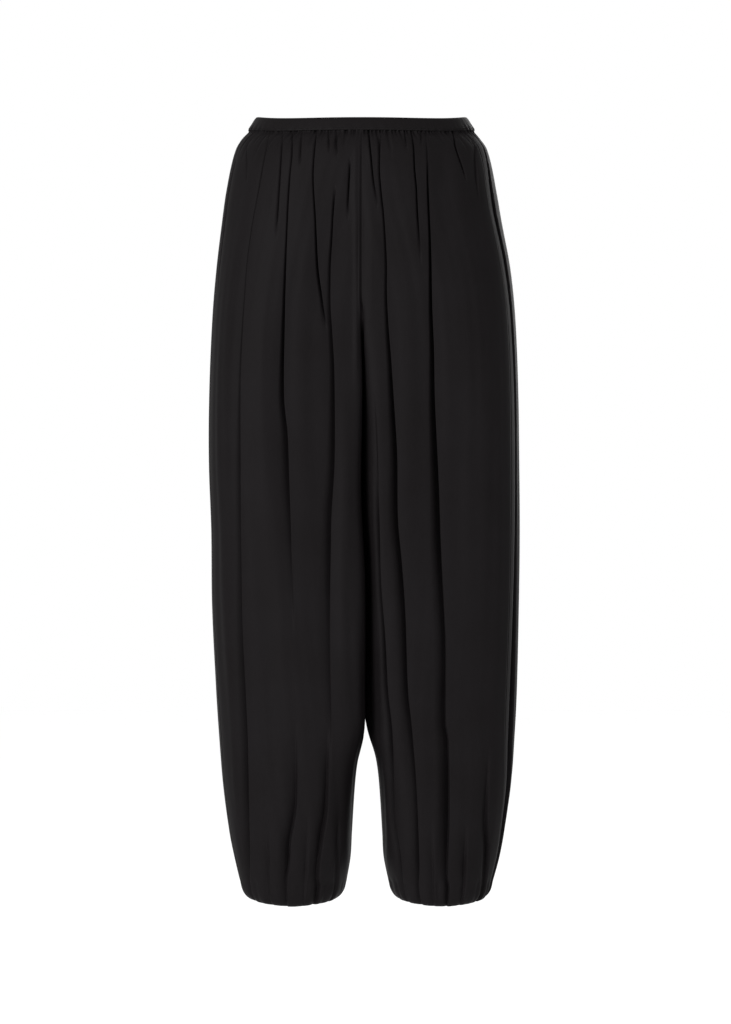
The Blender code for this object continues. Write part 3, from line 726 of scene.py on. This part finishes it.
def place_row(side, part, drop, state, share=1.0, lift=0.0, up=0.0):
    """One row of points of a panel, in millimetres."""
    sign = -1 if side == "left" else 1
    section, crown, start, columns, inward, shift = panel_row(side, part, drop, state)
    marks = start + columns
    x, y = section.at(marks + shift)
    ahead = section.at(marks + shift + TANGENT_STEP)
    behind = section.at(marks + shift - TANGENT_STEP)
    tx = ahead[0] - behind[0]
    ty = ahead[1] - behind[1]
    size = np.hypot(tx, ty)
    x = x - sign * ty / size * inward
    y = y + sign * tx / size * inward
    half_gap = SEAM_GAP / 2
    if drop <= CROTCH and share == 1.0:
        seam_at = 0 if part == "front" else -1
        x[seam_at] = sign * half_gap + bow_at(drop, y[seam_at])
    if drop >= CROTCH:
        y[0 if part == "front" else -1] = -half_gap if part == "front" else half_gap
    x = crown + (x - crown) * share
    y = y * share
    facing = np.abs(x - crown) / (np.abs(x - crown) + np.abs(y) + 1.0)
    z = -drop - up + lift * HEM_SIDE_LIFT * fade(facing)
    z = z + waist_lift(y, read(SECTIONS, "front", drop), drop)
    flat = np.stack([columns, np.full_like(columns, drop + abs(up))], axis=1)
    return np.stack([x, y, z], axis=1), flat


def panel_grid(side, part):
    """All rows of a panel, from under the waistband to the cuff."""
    seed = PANEL_SEEDS[side + part]
    count = FRONT_GATHERS if part == "front" else BACK_GATHERS
    rng = np.random.default_rng(seed + HEM_SEED)
    hem_places = (np.arange(HEM_GATHERS) + 0.5 + rng.uniform(-0.3, 0.3, HEM_GATHERS)) / HEM_GATHERS
    state = {
        "creases": CREASES[side],
        "folds": back_folds(side),
        "gathers": gathers(count, seed, GATHER_DEPTH, GATHER_REACH),
        "tucks": gathers(TUCKS, seed + TUCK_SEED, TUCK_DEPTH, TUCK_REACH),
        "hem_gathers": (hem_places, rng.uniform(0.4, 1.0, HEM_GATHERS),
                        HEM_GATHER_REACH * rng.uniform(0.5, 1.2, HEM_GATHERS)),
    }
    row, flat = place_row(side, part, TOP_DROP, state)
    rows = [row * (TURNED_IN, TURNED_IN, 1) + (0, 0, TURNED_UP)]
    flats = [flat - (0, TURNED_CLOTH)]
    for drop in row_drops():
        row, flat = place_row(side, part, float(drop), state)
        rows.append(row)
        flats.append(flat)
    for drop, share, lift, along in hem_rows():
        row, flat = place_row(side, part, LAST_DROP, state, share, lift, drop - LAST_DROP)
        flat[:, 1] = LAST_DROP + HEM_CLOTH * along
        rows.append(row)
        flats.append(flat)
    return np.array(rows), np.array(flats)


def grid_normals(grid, sign):
    """Outward normals of a grid of points."""
    down = np.gradient(grid, axis=0)
    across = np.gradient(grid, axis=1)
    normals = np.cross(across, down) * -sign
    size = np.linalg.norm(normals, axis=2, keepdims=True)
    return normals / np.maximum(size, 1e-9)


def with_allowances(grid, flats, sign):
    """The grid with narrow strips at both side edges that turn in at the seams.

    Both strips of a seam lean the same way, to cover its gap.  A little light still gets
    past some of them, seen from above.
    """
    normals = grid_normals(grid, sign)

    def strip(k, deep):
        along = grid[:, 1] - grid[:, 0] if k == 0 else grid[:, -1] - grid[:, -2]
        along = along / np.maximum(np.linalg.norm(along, axis=1, keepdims=True), 1e-9)
        along = np.where(np.abs(along[:, :1]) > LEAN_FLIP, along * np.sign(along[:, :1]), along)
        lean = along * ALLOWANCE_LEAN * min(deep, LEAN_DEPTH)
        return grid[:, k] - normals[:, k] * deep + lean

    first = [strip(0, deep) for deep in ALLOWANCE[::-1]]
    last = [strip(-1, deep) for deep in ALLOWANCE]
    flat_first = [flats[:, 0] - (deep, 0) for deep in ALLOWANCE[::-1]]
    flat_last = [flats[:, -1] + (deep, 0) for deep in ALLOWANCE]
    wide = np.concatenate([np.stack(first, axis=1), grid, np.stack(last, axis=1)], axis=1)
    flat = np.concatenate([np.stack(flat_first, axis=1), flats, np.stack(flat_last, axis=1)],
                          axis=1)
    return wide, flat


def shell_object(name, grid, flats, sign, material):
    """A cloth surface on a grid, with its flat size as a UV map in metres."""
    grid, flats = with_allowances(grid, flats, sign)
    rows, columns = grid.shape[:2]
    index = np.arange(rows * columns).reshape(rows, columns)
    a = index[:-1, :-1].ravel()
    b = index[:-1, 1:].ravel()
    c = index[1:, 1:].ravel()
    d = index[1:, :-1].ravel()
    faces = np.stack([a, b, c, d] if sign < 0 else [a, d, c, b], axis=1)
    mesh = bpy.data.meshes.new(name)
    mesh.from_pydata((grid.reshape(-1, 3) * MM).tolist(), [], faces.tolist())
    layer = mesh.uv_layers.new(name="Cloth")
    loops = np.empty(len(mesh.loops), dtype=np.int32)
    mesh.loops.foreach_get("vertex_index", loops)
    layer.data.foreach_set("uv", (flats.reshape(-1, 2) * MM)[loops].ravel())
    return finish_object(name, mesh, material)


def finish_object(name, mesh, material):
    mesh.materials.append(material)
    mesh.shade_smooth()
    mesh.update()
    obj = bpy.data.objects.new(name, mesh)
    bpy.context.scene.collection.objects.link(obj)
    return obj


def superellipse(half_width, half_depth, roundness, angle):
    c = math.cos(angle)
    s = math.sin(angle)
    return (half_width * math.copysign(abs(c) ** (2 / roundness), c),
            half_depth * math.copysign(abs(s) ** (2 / roundness), s))


def ring_mesh(name, rings, material):
    """A closed ring: rings are the points of its profile, each given all the way round."""
    count = len(rings[0])
    verts = [tuple(c * MM for c in point) for ring in rings for point in ring]
    faces = []
    for k in range(len(rings)):
        here = k * count
        there = ((k + 1) % len(rings)) * count
        for j in range(count):
            beside = (j + 1) % count
            faces.append((here + j, here + beside, there + beside, there + j))
    mesh = bpy.data.meshes.new(name)
    mesh.from_pydata(verts, [], faces)
    return finish_object(name, mesh, material)


def rounded_profile(thick, bulge=0.35):
    """Points (height share, offset) of a flat band's section with rounded edges."""
    profile = []
    steps = 10
    for i in range(steps + 1):
        share = i / steps
        profile.append((share, thick / 2 * (1 - 0.55 * abs(2 * share - 1) ** 6) + bulge * 0.3))
    for i in range(1, 4):
        profile.append((1 + 0.02 * math.sin(math.pi * i / 4), thick * (0.22 - 0.11 * i)))
    for i in range(steps + 1):
        share = 1 - i / steps
        profile.append((share, -thick / 2 * (1 - 0.55 * abs(2 * share - 1) ** 6)))
    for i in range(1, 4):
        profile.append((-0.02 * math.sin(math.pi * i / 4), thick * (-0.22 + 0.11 * i)))
    return profile


def band_point(angle, share, offset):
    """A point of the waistband at an angle, a share of its height and an offset out."""
    width = BAND_TOP[0] + (BAND_FOOT[0] - BAND_TOP[0]) * share + offset
    depth = BAND_TOP[1] + (BAND_FOOT[1] - BAND_TOP[1]) * share + offset
    x, y = superellipse(width, depth, FORMS[0].outer, angle)
    z = -share * BAND_SHOWN + float(waist_lift(y, depth, 0.0))
    return x, y, z


def make_waistband(material):
    """Flat covered elastic: smooth, pulled in a little where the gathers meet its foot."""
    rng = np.random.default_rng(BAND_SEED)
    waves = [(rng.uniform(*BAND_WAVE_DEPTH), rng.integers(*BAND_WAVE_COUNT), rng.uniform(*PHASES))
             for _ in range(BAND_WAVES)]
    rings = []
    for share, offset in rounded_profile(BAND_THICK):
        ring = []
        for j in range(BAND_COLUMNS):
            angle = 2 * math.pi * j / BAND_COLUMNS
            pucker = sum(a * math.sin(n * angle + p) for a, n, p in waves)
            near_foot = float(fade((share - PUCKER_START) / (1 - PUCKER_START)))
            out = offset + BAND_PUCKER * pucker * (0.15 + near_foot)
            ring.append(band_point(angle, share, out))
        rings.append(ring)
    return ring_mesh("waistband_shell", rings, material)


def make_stitches(material):
    """The line of stitches that holds the elastic, just above the band's foot."""
    verts = []
    faces = []
    pitch = 2 * math.pi / STITCHES
    for j in range(STITCHES):
        start = 2 * math.pi * j / STITCHES
        add_stitch(verts, faces, start, start + pitch * STITCH_LENGTH, STITCH_PLACE)
    mesh = bpy.data.meshes.new("band_stitches")
    mesh.from_pydata(verts, [], faces)
    return finish_object("band_stitches", mesh, material)


def add_stitch(verts, faces, start, end, share):
    """One stitch: a thread lying on the band, its ends sunk into it."""
    steps = 4
    around = 6
    base = len(verts)
    for i in range(steps + 1):
        t = i / steps
        angle = start + (end - start) * t
        rise = STITCH_RISE[0] * math.sin(math.pi * t) + STITCH_RISE[1]
        centre = Vector(band_point(angle, share, BAND_THICK / 2 + 0.1 + rise))
        out = Vector(band_point(angle, share, 4.0)) - Vector(band_point(angle, share, 0.0))
        out.normalize()
        for k in range(around):
            turn = 2 * math.pi * k / around
            spoke = out * math.cos(turn) + Vector((0, 0, 1)) * math.sin(turn)
            verts.append(tuple((centre + spoke * STITCH_RADIUS) * MM))
    for i in range(steps):
        for k in range(around):
            a = base + i * around + k
            b = base + i * around + (k + 1) % around
            faces.append((a, b, b + around, a + around))
    faces.append(tuple(base + k for k in reversed(range(around))))
    faces.append(tuple(base + steps * around + k for k in range(around)))


def make_cuff(side, grids, material):
    """Covered elastic inside the hem, puckered all round."""
    last = np.concatenate([grids[side, "front"][-1], grids[side, "back"][-1]])
    low = last.min(axis=0)
    high = last.max(axis=0)
    middle = (low + high) / 2
    width = (high[0] - low[0]) / 2 - CUFF_INSET
    depth = (high[1] - low[1]) / 2 - CUFF_INSET
    foot = high[2] + CUFF_GAP
    rings = []
    for share, offset in rounded_profile(CUFF_THICK, CUFF_BULGE):
        ring = []
        for j in range(CUFF_COLUMNS):
            angle = 2 * math.pi * j / CUFF_COLUMNS
            pucker = sum(a * math.sin(n * angle + p) for a, n, p in CUFF_WAVES)
            ends = abs(2 * share - 1)
            out = offset + pucker * (0.4 + 0.6 * ends)
            x, y = superellipse(width + out, depth + out, FORMS[-1].outer, angle)
            ring.append((middle[0] + x, middle[1] + y, foot + (1 - share) * CUFF_HEIGHT))
        rings.append(ring)
    return ring_mesh("cuff_" + side + "_shell", rings, material)


# ---- materials ---------------------------------------------------------------------------
def new_material(name):
    material = bpy.data.materials.new(name)
    material.use_nodes = True
    tree = material.node_tree
    return material, tree, tree.nodes["Principled BSDF"]


def link(tree, source, target):
    tree.links.new(source, target)


def add_noise(tree, scale, detail=2.0):
    """Noise in the object's own coordinates."""
    place = tree.nodes.new("ShaderNodeTexCoord")
    noise = tree.nodes.new("ShaderNodeTexNoise")
    noise.inputs["Scale"].default_value = scale
    noise.inputs["Detail"].default_value = detail
    link(tree, place.outputs["Object"], noise.inputs["Vector"])
    return noise.outputs["Fac"]


def set_colour(tree, shader, source, *stops):
    """Base colour between two stops, each a position and a colour."""
    ramp = tree.nodes.new("ShaderNodeValToRGB")
    for element, (position, colour) in zip(ramp.color_ramp.elements, stops):
        element.position = position
        element.color = (*colour, 1)
    link(tree, source, ramp.inputs["Fac"])
    link(tree, ramp.outputs["Color"], shader.inputs["Base Color"])


def set_roughness(tree, shader, source, low, high):
    spread = tree.nodes.new("ShaderNodeMapRange")
    spread.inputs["To Min"].default_value = low
    spread.inputs["To Max"].default_value = high
    link(tree, source, spread.inputs["Value"])
    link(tree, spread.outputs["Result"], shader.inputs["Roughness"])


def add_bump(tree, height, strength, distance, onto):
    """A bump whose normal goes to a given input."""
    bump = tree.nodes.new("ShaderNodeBump")
    bump.inputs["Strength"].default_value = strength
    bump.inputs["Distance"].default_value = distance
    link(tree, height, bump.inputs["Height"])
    link(tree, bump.outputs["Normal"], onto)
    return bump


def add_twill(tree):
    """Twill of the weave, in the cloth's own flat coordinates."""
    uv = tree.nodes.new("ShaderNodeUVMap")
    uv.uv_map = "Cloth"
    weave = tree.nodes.new("ShaderNodeTexWave")
    weave.wave_type = "BANDS"
    weave.bands_direction = "DIAGONAL"
    weave.inputs["Scale"].default_value = 520.0
    weave.inputs["Distortion"].default_value = 2.0
    weave.inputs["Detail"].default_value = 1.0
    link(tree, uv.outputs["UV"], weave.inputs["Vector"])
    return weave.outputs["Fac"]


def cloth_material():
    """Black crepe satin: fine weave, soft lustre, slight unevenness."""
    material, tree, shader = new_material("black crepe satin")
    patches = add_noise(tree, scale=14.0, detail=3.0)
    set_colour(tree, shader, patches, (0.3, CLOTH_DARK), (0.75, CLOTH_LIGHT))
    set_roughness(tree, shader, patches, low=0.56, high=0.66)
    weave = tree.nodes.new("ShaderNodeMath")
    weave.operation = "MULTIPLY_ADD"
    weave.inputs[1].default_value = 0.5
    link(tree, add_twill(tree), weave.inputs[0])
    link(tree, add_noise(tree, scale=900.0), weave.inputs[2])
    fine = add_bump(tree, weave.outputs["Value"], strength=0.12, distance=0.00012,
                    onto=shader.inputs["Normal"])
    add_bump(tree, add_noise(tree, scale=45.0), strength=0.25, distance=0.0012,
             onto=fine.inputs["Normal"])
    shader.inputs["Specular IOR Level"].default_value = 0.025
    return material


def band_material():
    """The same cloth stretched over elastic, with a fine grain."""
    material, tree, shader = new_material("black covered elastic")
    shader.inputs["Base Color"].default_value = (*BAND_COLOUR, 1)
    grain = add_noise(tree, scale=700.0)
    set_roughness(tree, shader, grain, low=0.5, high=0.6)
    add_bump(tree, grain, strength=0.2, distance=0.0002, onto=shader.inputs["Normal"])
    shader.inputs["Specular IOR Level"].default_value = 0.025
    return material


def thread_material():
    material, tree, shader = new_material("black thread")
    place = tree.nodes.new("ShaderNodeTexCoord")
    twist = tree.nodes.new("ShaderNodeTexWave")
    twist.inputs["Scale"].default_value = 900.0
    link(tree, place.outputs["Object"], twist.inputs["Vector"])
    set_colour(tree, shader, twist.outputs["Fac"], (0.0, THREAD_DARK), (1.0, THREAD_LIGHT))
    shader.inputs["Roughness"].default_value = 0.6
    shader.inputs["Specular IOR Level"].default_value = 0.03
    return material


def white_material():
    material, tree, shader = new_material("white studio paper")
    set_colour(tree, shader, add_noise(tree, scale=3.0), (0.0, PAPER_DARK), (1.0, PAPER_LIGHT))
    shader.inputs["Roughness"].default_value = 0.9
    shader.inputs["Specular IOR Level"].default_value = 0.1
    return material


# ---- studio ------------------------------------------------------------------------------
def make_camera():
    data = bpy.data.cameras.new("camera")
    data.sensor_fit = "VERTICAL"
    data.sensor_height = SENSOR
    data.lens = LENS
    camera = bpy.data.objects.new("camera", data)
    camera.location = CAMERA_AT
    camera.rotation_euler = (math.pi / 2, 0, 0)
    bpy.context.scene.collection.objects.link(camera)
    bpy.context.scene.camera = camera


def make_floor(material):
    """A wide pale floor, well below the hanging hems."""
    corners = [(x * FLOOR_HALF, y * FLOOR_HALF, FLOOR_LEVEL)
               for x, y in ((-1, -1), (1, -1), (1, 1), (-1, 1))]
    mesh = bpy.data.meshes.new("studio_floor")
    mesh.from_pydata(corners, [], [(0, 1, 2, 3)])
    finish_object("studio_floor", mesh, material)


def area_light(name, place, power):
    data = bpy.data.lights.new(name, "AREA")
    data.shape = "RECTANGLE"
    data.size, data.size_y = LIGHT_SIZE
    data.energy = power
    light = bpy.data.objects.new(name, data)
    light.location = place
    direction = Vector(LIT_POINT) - Vector(place)
    light.rotation_euler = direction.to_track_quat("-Z", "Y").to_euler()
    bpy.context.scene.collection.objects.link(light)


def make_studio():
    world = bpy.data.worlds.new("studio")
    bpy.context.scene.world = world
    world.use_nodes = True
    world.node_tree.nodes["Background"].inputs["Color"].default_value = (1, 1, 1, 1)
    world.node_tree.nodes["Background"].inputs["Strength"].default_value = 1.0
    for name, place, power in LIGHTS:
        area_light(name, place, power)
    make_floor(white_material())
    bpy.context.scene.view_settings.view_transform = "Standard"


# ---- assembly ----------------------------------------------------------------------------
def main():
    make_camera()
    make_studio()
    cloth = cloth_material()
    elastic = band_material()
    thread = thread_material()
    band = make_waistband(elastic)
    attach(band, "root")
    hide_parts("waistband")
    stitches = make_stitches(thread)
    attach(stitches, "root")
    grids = {}
    flats = {}
    for side in ("left", "right"):
        for part in ("front", "back"):
            grids[side, part], flats[side, part] = panel_grid(side, part)
    for (side, part), grid in grids.items():
        sign = -1 if side == "left" else 1
        name = part + "_" + side
        panel = shell_object(name + "_shell", grid, flats[side, part], sign, cloth)
        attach(panel, "root")
        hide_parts(name)
    for side in ("left", "right"):
        cuff = make_cuff(side, grids, elastic)
        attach(cuff, "root")
        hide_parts("cuff_" + side)


main()
